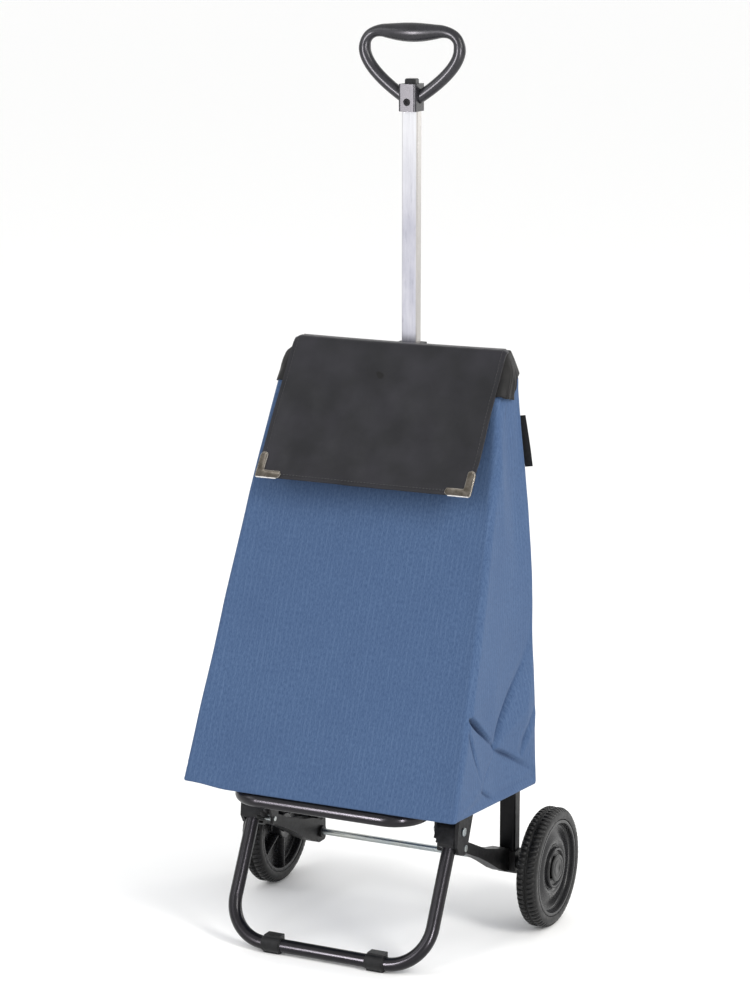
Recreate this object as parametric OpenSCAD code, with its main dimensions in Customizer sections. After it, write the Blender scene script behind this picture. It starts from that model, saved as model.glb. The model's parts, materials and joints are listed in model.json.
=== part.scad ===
// Shopping trolley: a steel back frame on two wheels, a platform and a leg that fold up, a telescopic
// handle with a push-button latch, and a tapered fabric bag with a flap.
// Sizes are in millimetres. Modules are drawn from the point on the floor under the middle of the axle,
// with +X to the right, +Y to the back and +Z up, and from_axle() moves them to the part's own origin.

/* [Handle] */
// Height of the top of the grip above the floor, handle pulled out
total_h = 1073; // [1060:1:1085]
// Width of the aluminium handle tube
tube_w = 20; // [19:0.5:20]
// Depth of the aluminium handle tube
tube_d = 14; // [13:0.5:14]
// Outer width of the D-shaped grip
grip_w = 137; // [130:1:142]
// Travel of the push button
button_travel = 3; // [2.5:0.5:3]

/* [Wheels] */
// Outer diameter of the tyres
wheel_d = 145; // [144:0.5:146]
// Width of the tyres
wheel_w = 26; // [25:0.5:27]
// Distance between the middles of the two tyres
track = 369.6; // [366:0.2:374]
// Diameter of the axle rod
axle_d = 8; // [7.5:0.5:8]

/* [Back frame] */
// Width of each rectangular upright
upright_w = 20.5; // [19:0.5:21]
// Distance between the middles of the two uprights
upright_gap = 267.2; // [266:0.2:270]
// Height of the top of the uprights
upright_top = 596; // [594:1:598]

/* [Platform and leg] */
// Diameter of the bent steel tubes
steel_tube_d = 16; // [15:0.5:16]
// Distance from the axle to the middle of the platform's front tube
platform_reach = 242; // [240:1:252]
// Height of the middle of the platform tubes
platform_z = 188; // [188:0.5:190]
// Distance between the middles of the leg tubes
leg_span = 258; // [256:1:260]
// Lean of the leg from the vertical, in degrees
leg_lean = 27.6; // [26:0.2:29]

/* [Bag] */
// Half of the bag's width at the bottom
bag_half_w = 174.5; // [170:0.5:178]
// Height of the bag's bottom
bag_z = 198.5; // [198.5:0.1:199]
// Thickness of the fabric walls
fabric_t = 2.5; // [2:0.1:3]
// Half of the flap's width
flap_half_w = 138; // [134:1:140]

/* [Hidden] */

$fn = 48;
slack = 0.05;
tube_r = steel_tube_d / 2;
tube_wall = 1.2;
axle_r = axle_d / 2;
wheel_r = wheel_d / 2;
axle_y = (platform_reach + tube_r - wheel_r) / 2;

// Back frame: the uprights and the mast sleeve share one depth
frame_front = -7;
frame_d = 18;
frame_back = frame_front + frame_d;
frame_y = frame_front + frame_d / 2;
frame_wall = 1.5;
upright_x = upright_gap / 2;
upright_bottom = 64;
upright_in = upright_x - upright_w / 2;
upright_out = upright_x + upright_w / 2;
crossbar_d = 12;
crossbar_h = 25;
lower_bar_z = 212;
upper_bar_z = 568;
crossbar_half = upright_x + 2.4;
rivet_r = 2.5;
rivet_x = upright_x - 4;

// Telescopic mast
sleeve_wall = (frame_d - tube_d) / 2 - 0.2;
sleeve_w = tube_w + 2 * sleeve_wall + 0.4;
sleeve_bottom = 176;
sleeve_top = 690;
collar_top = 698;
collar_h = 22;
tube_wall_mast = 1.4;
tube_bottom = 440;
latch_z = 447.5;
handle_travel = 240;
block_top = total_h - 70;
block_h = 32;
block_w = 22.4;
block_d = 26;
block_y = 1;
tube_top = block_top - 17;
pin_r = 2.5;
rod_r = 2;
rod_back = 3.5;

// Side arms: plastic shoes on the uprights' lower ends, each with an arm that reaches forward
shoe_wall = 1.6;
shoe_in = upright_in - shoe_wall;
shoe_out = upright_out + shoe_wall;
shoe_front = frame_front - shoe_wall;
shoe_back = frame_back + shoe_wall;
arm_out = 138;

// Platform pivot, leg pivot and the pin that rests on the arm
pivot_y = -26;
platform_half = 115;
platform_bend = 34;
leg_bend = 50;
leg_half = leg_span / 2;
leg_pivot_y = -154.7;
leg_pivot_z = 156;
foot_z = 10;
leg_len = (leg_pivot_z - foot_z) / cos(leg_lean);
stop_y = -148;
stop_z = 134;
cheek_t = 3.4;
cheek_in = 108.3;
cheek_out = 138.3;
cap_in = 112;
cap_out = 138;
cap_r = 11;
pivot_r = 3;
platform_pin_r = 4;
ear_t = 2.5;
ear_in = platform_half + tube_r + 0.5;
foot_x = 67.5;
foot_w = 25;

// Wheel parts, measured along X from the middle of the tyre
wheel_x = track / 2;
rim_r = 59;
boss_r = 16;
boss_in = -13.5;
cap_face = 14;

// Bag outline: the front face's distance from the axle and the half width, both by height
bag_back = -9.5;
bag_split = 650;
bag_top = 699;
front_line = [[bag_z, -248], [545, -107], [bag_split, -62], [bag_top, -28]];
width_line = [[bag_z, bag_half_w], [403, 167], [523, 160.5], [bag_split, 148], [bag_top, 133]];
board_front = lookup(bag_z + 8, front_line) + 4;
board_back = -46;
flap_t = 2.5;
flap_back = -9.8;
flap_z = 700;
flap_fold = -30.8;
flap_drop = 185.6;
flap_lean = 33.86;
flap_top = flap_z + flap_t;
corner_arm = 34;
corner_w = 11;
metal_t = 0.8;
corner_fold = flap_t + 0.6;

// ---- Helpers ----

// Moves parts drawn from the axle to the part's origin, under the middle of its box
module from_axle() translate([0, axle_y, 0]) children();

// Draws right-hand parts as they are for side = 1, or mirrored for side = -1
module on_side(side) mirror([side < 0 ? 1 : 0, 0, 0]) children();

// Draws something once on each side
module both_sides() {
    on_side(1) children();
    on_side(-1) children();
}

// Extrudes an outline drawn in (Y, Z) from x0 to x1
module slab(x0, x1) translate([x0, 0, 0]) rotate([90, 0, 90]) linear_extrude(x1 - x0) children();

// Extrudes an outline drawn in (X, Z) from y0 to y1
module plate(y0, y1) translate([0, y1, 0]) rotate([90, 0, 0]) linear_extrude(y1 - y0) children();

// Round bar along X, through (y, z)
module rod_x(x0, x1, r, y, z) translate([x0, y, z]) rotate([0, 90, 0]) cylinder(h = x1 - x0, r = r);

// Round bar along Y, through (x, z)
module rod_y(y0, y1, r, x, z) translate([x, y0, z]) rotate([-90, 0, 0]) cylinder(h = y1 - y0, r = r);

// Solid of revolution about the wheel's axis, drawn as (radius, distance outwards)
module wheel_turn(side) on_side(side) translate([wheel_x, 0, wheel_r]) rotate([0, 90, 0])
    rotate_extrude($fn = 96) children();

// Rectangle with round corners, centred
module round_rect(w, d, r) {
    square([w - 2 * r, d], center = true);
    square([w, d - 2 * r], center = true);
    for (x = [-1, 1], y = [-1, 1]) translate([x * (w / 2 - r), y * (d / 2 - r)]) circle(r, $fn = 24);
}

// Upright rectangular tube with round corners, centred on (x, y)
module box_tube(x, y, z0, z1, w, d, wall, r) difference() {
    translate([x, y, z0]) linear_extrude(z1 - z0) round_rect(w, d, r);
    translate([x, y, z0 - 1]) linear_extrude(z1 - z0 + 2) round_rect(w - 2 * wall, d - 2 * wall, r / 2);
}

// Solid U of round bar in the XZ plane: two legs hang from z = 0 and a bar joins them at z = -reach
module u_bar(half, reach, bend, r) {
    both_sides() {
        translate([half, 0, bend - reach]) cylinder(h = reach - bend, r = r);
        translate([half - bend, 0, bend - reach]) rotate([90, 0, 0])
            rotate_extrude(angle = -90, $fn = 96) translate([bend, 0]) circle(r);
    }
    rod_x(bend - half, half - bend, r, 0, -reach);
}

// Bent steel tube in the shape of a U
module u_tube(half, reach, bend) difference() {
    u_bar(half, reach, bend, tube_r);
    u_bar(half, reach, bend, tube_r - tube_wall);
}

// Leg parts are drawn with the leg hanging straight down from its pivot
module in_leg_frame() translate([0, leg_pivot_y, leg_pivot_z]) rotate([-leg_lean, 0, 0]) children();

// Flap parts are drawn with the panel hanging straight down from its front fold
module in_flap_frame() translate([0, flap_fold, flap_top]) rotate([-flap_lean, 0, 0]) children();

// Helical spring of round wire, standing on z = 0
module coil(radius, wire_r, height, turns) {
    steps = 14 * turns;
    sides = 8;
    points = [for (i = [0:steps], j = [0:sides - 1])
        let (turn = 360 * i * turns / steps, around = 360 * j / sides)
        [(radius + wire_r * cos(around)) * cos(turn), (radius + wire_r * cos(around)) * sin(turn),
            wire_r + (height - 2 * wire_r) * i / steps + wire_r * sin(around)]];
    walls = [for (i = [0:steps - 1], j = [0:sides - 1])
        let (a = i * sides + j, b = i * sides + (j + 1) % sides) [b, a, a + sides, b + sides]];
    start = [for (j = [0:sides - 1]) j];
    end = [for (j = [sides - 1:-1:0]) steps * sides + j];
    polyhedron(points, concat(walls, [start, end]));
}

// ---- Back frame ----

module upright(side) color("#202124") from_axle() on_side(side) difference() {
    box_tube(upright_x, frame_y, upright_bottom, upright_top, upright_w, frame_d, frame_wall, 3);
    rod_x(upright_in - 1, upright_out + 1, axle_r + 0.2, 0, wheel_r);
    for (z = [lower_bar_z, upper_bar_z])
        rod_y(frame_y, frame_back + 1, rivet_r + slack, rivet_x, z + crossbar_h / 2);
}

module crossbar(z) color("#202124") from_axle() difference() {
    translate([-crossbar_half, frame_back, z]) cube([2 * crossbar_half, crossbar_d, crossbar_h]);
    translate([-crossbar_half - 1, frame_back + frame_wall, z + frame_wall])
        cube([2 * crossbar_half + 2, crossbar_d - 2 * frame_wall, crossbar_h - 2 * frame_wall]);
    both_sides() rod_y(frame_back - 1, frame_back + crossbar_d + 1, rivet_r + slack,
        rivet_x, z + crossbar_h / 2);
}

module crossbar_rivets() color("silver") from_axle() both_sides()
    for (z = [lower_bar_z, upper_bar_z]) translate([rivet_x, frame_back, z + crossbar_h / 2]) {
        rod_y(crossbar_d, crossbar_d + 1.8, 2 * rivet_r, 0, 0);
        rod_y(-4, crossbar_d + 0.5, rivet_r, 0, 0);
        rod_y(-4.5, -frame_wall, 1.4 * rivet_r, 0, 0);
    }

module mast_sleeve() color("#202124") from_axle() difference() {
    box_tube(0, frame_y, sleeve_bottom, sleeve_top, sleeve_w, frame_d, sleeve_wall, 3.5);
    for (z = [latch_z, latch_z - handle_travel]) rod_y(frame_y, frame_back + 1, pin_r + 0.2, 0, z);
}

module mast_collar() color("#17181a") from_axle() difference() {
    translate([0, frame_y + 0.5, collar_top - collar_h]) linear_extrude(collar_h)
        round_rect(33, frame_d + 5, 4);
    translate([0, frame_y, collar_top - collar_h - 1]) linear_extrude(sleeve_top - collar_top + collar_h + 1)
        square([sleeve_w, frame_d], center = true);
    translate([0, frame_y, 0]) linear_extrude(total_h) square([tube_w + 0.2, tube_d + 0.2], center = true);
}

// ---- Side arms and axle ----

module side_arm(side) color("#1b1c1e") from_axle() on_side(side) difference() {
    union() {
        slab(shoe_in, shoe_out)
            polygon([[shoe_front, 62], [-5, 59], [10, 59], [shoe_back, 62], [shoe_back, 85], [10.5, 87],
                [shoe_front, 87]]);
        slab(shoe_in, arm_out) polygon([[0, 61], [0, 87], [-10, 91.5], [-22, 96], [-44, 101], [-79, 112],
            [-111, 127], [-136, 138.5], [-143, 137.5], [-146, 134], [-152, 131], [-153.5, 128], [-149, 124.5],
            [-139, 125], [-96, 105.5], [-73, 93.5], [-40, 74.5], [-22, 66]]);
    }
    translate([upright_x, frame_y, upright_bottom]) linear_extrude(80) round_rect(upright_w, frame_d, 3);
    rod_x(shoe_in - 1, shoe_out + 1, axle_r + slack, 0, wheel_r);
    rod_x(shoe_in - 1, arm_out + 1, pivot_r + slack, stop_y, stop_z);
}

module axle() color("silver") from_axle() rod_x(-wheel_x - 10, wheel_x + 10, axle_r, 0, wheel_r);

// Push-on clips that hold the axle against the shoes' inner faces
module axle_clips() color("#1b1c1e") from_axle() both_sides() difference() {
    rod_x(shoe_in - 3.5, shoe_in, 7.5, 0, wheel_r);
    rod_x(shoe_in - 4, shoe_in + 1, axle_r + 0.02, 0, wheel_r);
}

module spacer(side) color("#1b1c1e") from_axle() on_side(side) difference() {
    rod_x(shoe_out + 0.3, wheel_x + boss_in - 0.3, 7.5, 0, wheel_r);
    rod_x(shoe_out, wheel_x, axle_r + slack, 0, wheel_r);
}

// ---- Wheels ----

module hub(side) color("#2a2c2f") {
    from_axle() wheel_turn(side) difference() {
        union() {
            translate([rim_r - 5, -12]) square([5, 24.4]);
            polygon([[axle_r, -2], [rim_r - 4, -2], [rim_r - 4, 7], [53, 5.2], [49, 4.4], [45, 4.8], [41, 6.2],
                [37, 8], [33, 9], [30, 8.8], [27.5, 7.4], [25.5, 5.2], [24.5, 5], [24.2, 10.6], [23.4, 11.6],
                [22.2, 11.6], [21.2, 10.6], [20.4, 8.2], [axle_r, 8.2]]);
            translate([0, boss_in]) square([boss_r, 11.6 - boss_in]);
        }
        translate([0, boss_in - 1]) square([axle_r + slack, 40]);
        translate([0, 5]) square([boss_r - 3, 10]);
    }
    from_axle() on_side(side) translate([wheel_x, 0, wheel_r]) for (turn = [0:60:300])
        rotate([turn, 0, 0]) translate([-11, -1.5, boss_r - 1]) cube([9.5, 3, rim_r - 4.5 - boss_r]);
}

module tyre(side) color("#18191b") from_axle() wheel_turn(side) {
    translate([rim_r, -wheel_w / 2]) square([wheel_r - rim_r - 5, wheel_w]);
    translate([rim_r, 5 - wheel_w / 2]) square([wheel_r - rim_r, wheel_w - 10]);
    for (end = [-1, 1]) translate([wheel_r - 5, end * (wheel_w / 2 - 5)]) circle(5);
}

module hub_cap(side) color("#3a3c40") from_axle() wheel_turn(side) difference() {
    polygon([[0, 5], [boss_r - 3 - slack, 5], [boss_r - 3 - slack, 11.6], [boss_r + 0.6, 11.6],
        [boss_r + 0.6, 12.6], [boss_r - 0.4, 13.4], [12, cap_face], [0, cap_face]]);
    translate([0, 4]) square([axle_r + slack, 6.2]);
}

// ---- Platform ----

// Steel tab welded to the upright's front face, with the platform's pivot hole
module pivot_ear(side) color("#202124") from_axle() on_side(side) difference() {
    union() {
        translate([ear_in, frame_front - ear_t, platform_z - 21.5])
            cube([upright_out - ear_in - 1, ear_t, 29.5]);
        translate([ear_in, pivot_y, platform_z - tube_r]) cube([ear_t, frame_front - pivot_y, 2 * tube_r]);
        rod_x(ear_in, ear_in + ear_t, tube_r, pivot_y, platform_z);
    }
    rod_x(ear_in - 1, ear_in + ear_t + 1, platform_pin_r + slack, pivot_y, platform_z);
}

module platform_pins() color("silver") from_axle() both_sides() {
    rod_x(platform_half - tube_r - 0.5, ear_in + ear_t + 0.5, platform_pin_r, pivot_y, platform_z);
    rod_x(platform_half - tube_r - 2.3, platform_half - tube_r - 0.3, 6, pivot_y, platform_z);
    rod_x(ear_in + ear_t, ear_in + ear_t + 2, 6, pivot_y, platform_z);
}

// Bent tube, plugged at its back ends by round lugs that take the pivot pins
module platform_loop() color("#1c1d20") from_axle() difference() {
    union() {
        translate([0, pivot_y, platform_z]) rotate([-90, 0, 0])
            u_tube(platform_half, platform_reach + pivot_y, platform_bend);
        both_sides() rod_x(platform_half - tube_r, platform_half + tube_r, tube_r, pivot_y, platform_z);
    }
    both_sides() rod_x(platform_half - 2 * tube_r, platform_half + 2 * tube_r,
        platform_pin_r + slack, pivot_y, platform_z);
}

module outer_cheek() polygon([[-171, 141], [-165, 131], [-152, 126], [-143, 129], [-139.5, 140],
    [-124, 176], [-124, 182], [-162, 182], [-168, 165]]);

module inner_cheek() polygon([[-160.6, 152], [-158, 146], [-153, 138], [-153, 129], [-149, 126.5],
    [-142, 130], [-138, 140], [-124, 176], [-124, 182], [-160.6, 182]]);

// Moulded bracket on the platform tube: two cheeks hold the leg's pivot and the pin that rests on the arm
module leg_bracket(side) color("#17181a") from_axle() on_side(side) difference() {
    union() {
        slab(cheek_in, cheek_in + cheek_t) inner_cheek();
        slab(cheek_out, cheek_out + cheek_t + 1) outer_cheek();
        slab(cheek_in - 2.8, cheek_out + cheek_t + 1) polygon([[-168, 180.3], [-124, 180.3], [-124, 195],
            [-128, 198], [-164, 198], [-168, 194]]);
    }
    rod_y(-180, -110, tube_r, platform_half, platform_z);
    rod_x(100, 150, pivot_r + slack, leg_pivot_y, leg_pivot_z);
    rod_x(100, 150, pivot_r, stop_y, stop_z);
}

module leg_pins() color("silver") from_axle() both_sides() {
    rod_x(cheek_in - 1.5, cheek_out + cheek_t + 1.5, pivot_r, leg_pivot_y, leg_pivot_z);
    rod_x(cheek_out + cheek_t + 1, cheek_out + cheek_t + 3, 5, leg_pivot_y, leg_pivot_z);
    rod_x(cheek_in - 1.8, cheek_in, 4.5, leg_pivot_y, leg_pivot_z);
}

module stop_pins() color("silver") from_axle() both_sides() {
    rod_x(cheek_in - 1, cheek_out + cheek_t + 1.6, pivot_r, stop_y, stop_z);
    rod_x(cheek_out + cheek_t + 1, cheek_out + cheek_t + 2.2, 4, stop_y, stop_z);
}

// ---- Leg ----

module leg_loop() color("#1c1d20") from_axle() in_leg_frame() difference() {
    union() {
        u_tube(leg_half, leg_len, leg_bend);
        both_sides() translate([leg_half, 0, -1]) difference() {
            cylinder(h = 7, r = tube_r);
            translate([0, 0, -1]) cylinder(h = 9, r = tube_r - tube_wall);
        }
    }
    both_sides() rod_x(leg_half - 10, leg_half + 10, pivot_r + slack, 0, 0);
}

module leg_cap(side) color("#141517") from_axle() in_leg_frame() on_side(side) difference() {
    union() {
        rod_x(cap_in, cap_out, cap_r, 0, 0);
        slab(cap_in, cap_out) polygon([[-cap_r, 0], [cap_r, 0], [cap_r, -13], [-cap_r, -13]]);
        slab(cap_in + 3.5, cap_out) polygon([[-cap_r, -13], [cap_r, -13], [cap_r, -18], [-cap_r, -18]]);
        slab(cap_in + 7, cap_out) polygon([[-cap_r, -18], [cap_r, -18], [cap_r - 1, -22], [1 - cap_r, -22]]);
    }
    translate([leg_half, 0, -30]) cylinder(h = 36, r = tube_r);
    rod_x(cap_in - 1, cap_out + 1, pivot_r + slack, 0, 0);
}

// Plastic clip round the leg's floor bar, with a raised box on its upper back side and a flat sole
module foot(side) color("#141517") from_axle() in_leg_frame() on_side(side)
    translate([foot_x, 0, -leg_len]) rotate([leg_lean, 0, 0]) difference() {
        union() {
            rod_x(-foot_w / 2 + 2, foot_w / 2 - 2, foot_z, 0, 0);
            rod_x(-foot_w / 2, foot_w / 2, foot_z - 1, 0, 0);
            translate([2 - foot_w / 2, -3, 0]) cube([foot_w - 4, 13, 11.4]);
            translate([2 - foot_w / 2, -5, -foot_z]) cube([foot_w - 4, 10, foot_z]);
        }
        rod_x(-foot_w, foot_w, tube_r, 0, 0);
    }

// ---- Handle ----

module handle_tube() color("#c3c6ca") from_axle() difference() {
    box_tube(0, frame_y, tube_bottom, tube_top, tube_w, tube_d, tube_wall_mast, 2.5);
    rod_y(frame_y, frame_back, pin_r + slack, 0, latch_z);
    rod_y(-20, frame_y, pin_r + slack, 0, block_top - 21);
}

module grip_block() color("#222326") from_axle() difference() {
    translate([0, block_y, block_top - block_h]) linear_extrude(block_h) round_rect(block_w, block_d, 3);
    translate([0, frame_y, 0]) linear_extrude(tube_top) square([tube_w, tube_d], center = true);
    translate([0, frame_y, tube_top + 1]) linear_extrude(40) round_rect(14.2, 15.2, 4);
    translate([0, rod_back, 0]) cylinder(h = block_top, r = rod_r + 0.1);
    rod_y(-20, 0, pin_r, 0, block_top - 21);
    rod_y(-20, block_y - block_d / 2 + 3.2, 4.3, 0, block_top - 21);
}

// Point at t on a cubic curve with control points p
function bezier(p, t) = pow(1 - t, 3) * p[0] + 3 * t * pow(1 - t, 2) * p[1]
    + 3 * t * t * (1 - t) * p[2] + pow(t, 3) * p[3];

// The grip's middle line: an arm curves out and up, turns in at the shoulder and runs along the top
grip_half = grip_w / 2 - 7.3;
grip_z = block_top - 17;
grip_arm = [for (i = [0:11]) bezier([[8, grip_z], [34, grip_z + 16], [grip_half, grip_z + 38],
    [grip_half, grip_z + 57]], i / 12)];
grip_shoulder = [for (i = [0:9]) bezier([[grip_half, grip_z + 57], [grip_half, grip_z + 71],
    [grip_half - 10, grip_z + 77.5], [36, grip_z + 77.5]], i / 10)];
grip_bar = [for (i = [0:8]) [36 - 4.5 * i, grip_z + 76 + 1.5 * pow(1 - i / 8, 2)]];
grip_right = concat(grip_arm, grip_shoulder, grip_bar);
grip_path = concat(grip_right, [for (i = [len(grip_right) - 2:-1:0]) [-grip_right[i][0], grip_right[i][1]]]);

// Radius of the grip at a point: slim arms, and a bar that swells in the middle
function grip_radius(p) = p[1] < grip_z + 60 ? 7.2
    : 6.3 + 4.9 * pow(cos(90 * min(1, abs(p[0]) / 50)), 1.4);

// Direction of the grip's middle line at point i
function grip_along(i) = let (a = grip_path[max(i - 1, 0)], b = grip_path[min(i + 1, len(grip_path) - 1)])
    (b - a) / norm(b - a);

// D-shaped handgrip, swept along its middle line
module grip_ring() color("#26282b") {
    sides = 20;
    points = [for (i = [0:len(grip_path) - 1], j = [0:sides - 1])
        let (p = grip_path[i], d = grip_along(i), r = grip_radius(p), around = 360 * j / sides)
        [p[0] + r * cos(around) * d[1], frame_y + r * sin(around), p[1] - r * cos(around) * d[0]]];
    walls = [for (i = [0:len(grip_path) - 2], j = [0:sides - 1])
        let (a = i * sides + j, b = i * sides + (j + 1) % sides) [a, b, b + sides, a + sides]];
    start = [for (j = [sides - 1:-1:0]) j];
    end = [for (j = [0:sides - 1]) (len(grip_path) - 1) * sides + j];
    from_axle() difference() {
        polyhedron(points, concat(walls, [start, end]));
        translate([-block_w / 2, -30, block_top - block_h]) cube([block_w, 60, block_h]);
    }
}

module grip_screw() color("#3a3c40") from_axle() difference() {
    union() {
        rod_y(block_y - block_d / 2 + 0.2, block_y - block_d / 2 + 3.2, 4, 0, block_top - 21);
        rod_y(block_y - block_d / 2 + 3, -0.5, pin_r, 0, block_top - 21);
    }
    translate([0, block_y - block_d / 2 - 1, block_top - 21]) rotate([-90, 0, 0])
        cylinder(h = 3.2, r = 2.3, $fn = 6);
}

module release_button() color("#1a1b1d") from_axle() {
    translate([0, frame_y, block_top - 7]) linear_extrude(button_travel + 9) round_rect(14, 15, 4);
    translate([0, frame_y, block_top + button_travel + 2]) linear_extrude(0.8) round_rect(12.4, 13.4, 3.2);
}

// Steel rod inside the handle tube, from the button to the wedge that draws the latch pin in
module push_rod() color("silver") from_axle() {
    translate([0, rod_back, latch_z + 18]) cylinder(h = block_top - latch_z - 25, r = rod_r);
    slab(-4, 4)
        polygon([[1.5, latch_z + 13.5], [7.3, latch_z + 7.7], [7.3, latch_z + 20], [1.5, latch_z + 20]]);
}

module button_spring() color("silver") from_axle()
    translate([0, rod_back, tube_top + 1.2]) coil(3.2, 0.4, block_top - tube_top - 8.4, 5);

// Sprung pin that catches in the sleeve's holes; its tip stops just inside the sleeve's back wall
module latch_pin() color("silver") from_axle() {
    slab(-4.5, 4.5) polygon([[1.5, latch_z - 4], [6.2, latch_z - 4], [6.2, latch_z + 8.5],
        [2.2, latch_z + 12.5], [1.5, latch_z + 12.5]]);
    rod_y(6, frame_back - sleeve_wall - 0.1, pin_r, 0, latch_z);
}

module latch_spring() color("silver") from_axle() translate([0, 1.4, latch_z + 3])
    rotate([90, 0, 0]) coil(3, 0.35, 4.8, 3);

// ---- Bag ----

// Outline of the bag seen from the side, between two heights, drawn in by t
module bag_side(z0, z1, t) {
    knots = [for (k = front_line) if (k[0] > z0 && k[0] < z1) k];
    heights = concat([z0], [for (k = knots) k[0]], [z1]);
    polygon(concat([[bag_back - t, z1], [bag_back - t, z0]],
        [for (z = heights) [lookup(min(z, bag_top), front_line) + 1.1 * t, z]]));
}

// Outline of the bag seen from the front, between two heights, drawn in by t
module bag_face(z0, z1, t) {
    knots = [for (k = width_line) if (k[0] > z0 && k[0] < z1) k[0]];
    heights = concat([z0], knots, [z1]);
    polygon(concat([for (z = heights) [lookup(min(z, bag_top), width_line) - t, z]],
        [for (i = [len(heights) - 1:-1:0]) [t - lookup(min(heights[i], bag_top), width_line), heights[i]]]));
}

module bag_solid(z0, z1, t) intersection() {
    slab(-200, 200) bag_side(z0, z1, t);
    plate(-300, 0) bag_face(z0, z1, t);
}

// Tapered bag with a flat bottom, open at the top
module bag_body() color("#3d5f92") from_axle() difference() {
    bag_solid(bag_z, bag_split, 0);
    bag_solid(bag_z + fabric_t, bag_split + 1, fabric_t);
}

// Black band round the bag's mouth
module bag_cuff() color("#222225") from_axle() difference() {
    bag_solid(bag_split + 0.2, bag_top, 0);
    bag_solid(bag_split - 1, bag_top + 1, fabric_t);
}

// Stiff board that lies in the bag on the platform and folds up with it
module base_board() color("#8b7a63") from_axle()
    translate([-bag_half_w + 8, board_front, bag_z + fabric_t + 0.4])
        cube([2 * bag_half_w - 16, board_back - board_front, 3]);

// Steel hooks on the upper crossbar
module bag_hooks() color("#202124") from_axle() both_sides() translate([0, 0, upper_bar_z]) slab(62, 78)
    polygon([[9, 2], [frame_back, 2], [frame_back, 28], [-2, 28], [-2, 37], [-4, 37], [-4, 26], [9, 26]]);

// Webbing loops sewn to the bag's back, hung on the hooks
module bag_straps() color("#1b1b1d") from_axle() both_sides() translate([0, 0, upper_bar_z]) slab(60, 80)
    polygon([[-9.2, -40], [-7.9, -40], [-7.9, 39.6], [-1.6, 39.6], [-1.6, 30], [-0.2, 30], [-0.2, 41],
        [-9.2, 41]]);

// Short webbing tab sewn into the right-hand back seam
module side_tag() color("#1b1b1d") from_axle() plate(-9.3, -7.5)
    polygon([[146, 624], [156, 624], [165, 563], [151, 562]]);

// ---- Flap ----

module flap() color("#232326") from_axle() slab(-flap_half_w, flap_half_w)
    polygon([[flap_back, flap_z], [flap_back, flap_top], [flap_fold, flap_top],
        [flap_fold - flap_drop * sin(flap_lean), flap_top - flap_drop * cos(flap_lean)],
        [flap_fold - flap_drop * sin(flap_lean) + flap_t * cos(flap_lean),
            flap_top - flap_drop * cos(flap_lean) - flap_t * sin(flap_lean)],
        [flap_fold + 1.3, flap_z]]);

// L-shaped sheet-metal protector folded round the flap's lower corner
module flap_corner(side) color("#8d8577") from_axle() in_flap_frame() on_side(side) {
    translate([flap_half_w, 0, -flap_drop]) {
        plate(-metal_t, 0) polygon([[metal_t, -metal_t], [metal_t, corner_arm], [3 - corner_w, corner_arm],
            [-corner_w, corner_arm - 3], [-corner_w, corner_w], [3 - corner_arm, corner_w],
            [-corner_arm, corner_w - 3], [-corner_arm, -metal_t]]);
        translate([-corner_arm, 0, -metal_t]) cube([corner_arm + metal_t, corner_fold, metal_t]);
        cube([metal_t, corner_fold, corner_arm]);
    }
}

upright(-1);  // left_upright
upright(1);  // right_upright
crossbar(lower_bar_z);  // lower_crossbar
crossbar(upper_bar_z);  // upper_crossbar
crossbar_rivets();
mast_sleeve();
mast_collar();
side_arm(-1);  // left_side_arm
side_arm(1);  // right_side_arm
axle();
axle_clips();
spacer(-1);  // left_spacer
spacer(1);  // right_spacer
hub(-1);  // left_hub
hub(1);  // right_hub
tyre(-1);  // left_tyre
tyre(1);  // right_tyre
hub_cap(-1);  // left_hub_cap
hub_cap(1);  // right_hub_cap
pivot_ear(-1);  // left_pivot_ear
pivot_ear(1);  // right_pivot_ear
platform_pins();
platform_loop();
leg_bracket(-1);  // left_leg_bracket
leg_bracket(1);  // right_leg_bracket
leg_pins();
stop_pins();
leg_loop();
leg_cap(-1);  // left_leg_cap
leg_cap(1);  // right_leg_cap
foot(-1);  // left_foot
foot(1);  // right_foot
handle_tube();
grip_block();
grip_ring();
grip_screw();
release_button();
push_rod();
button_spring();
latch_pin();
latch_spring();
bag_body();
bag_cuff();
base_board();
bag_hooks();
bag_straps();
side_tag();
flap();
flap_corner(-1);  // left_flap_corner
flap_corner(1);  // right_flap_corner
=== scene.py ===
"""Looks of the shopping trolley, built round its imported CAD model.

Sizes are in millimetres and turned into metres by at(), which measures from the point on the floor under
the axle: +X to the right, +Y to the back, +Z up.
"""

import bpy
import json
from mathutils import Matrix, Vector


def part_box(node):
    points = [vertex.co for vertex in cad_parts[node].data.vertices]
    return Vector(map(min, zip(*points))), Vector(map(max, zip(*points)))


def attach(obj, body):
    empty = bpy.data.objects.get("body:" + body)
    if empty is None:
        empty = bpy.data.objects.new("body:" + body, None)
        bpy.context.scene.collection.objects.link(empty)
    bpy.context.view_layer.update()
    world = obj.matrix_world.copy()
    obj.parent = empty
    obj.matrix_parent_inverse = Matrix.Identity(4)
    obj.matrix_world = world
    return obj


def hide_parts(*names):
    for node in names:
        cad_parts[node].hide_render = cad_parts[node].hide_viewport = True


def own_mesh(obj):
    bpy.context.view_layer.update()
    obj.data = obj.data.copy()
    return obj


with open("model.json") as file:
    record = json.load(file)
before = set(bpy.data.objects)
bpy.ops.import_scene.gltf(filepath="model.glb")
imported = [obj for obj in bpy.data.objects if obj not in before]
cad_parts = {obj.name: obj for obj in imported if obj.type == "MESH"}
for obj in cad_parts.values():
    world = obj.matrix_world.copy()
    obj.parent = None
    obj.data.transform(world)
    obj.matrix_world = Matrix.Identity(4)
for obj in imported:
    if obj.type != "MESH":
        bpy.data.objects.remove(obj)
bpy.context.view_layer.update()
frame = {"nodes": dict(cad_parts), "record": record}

import json
import math

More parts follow.
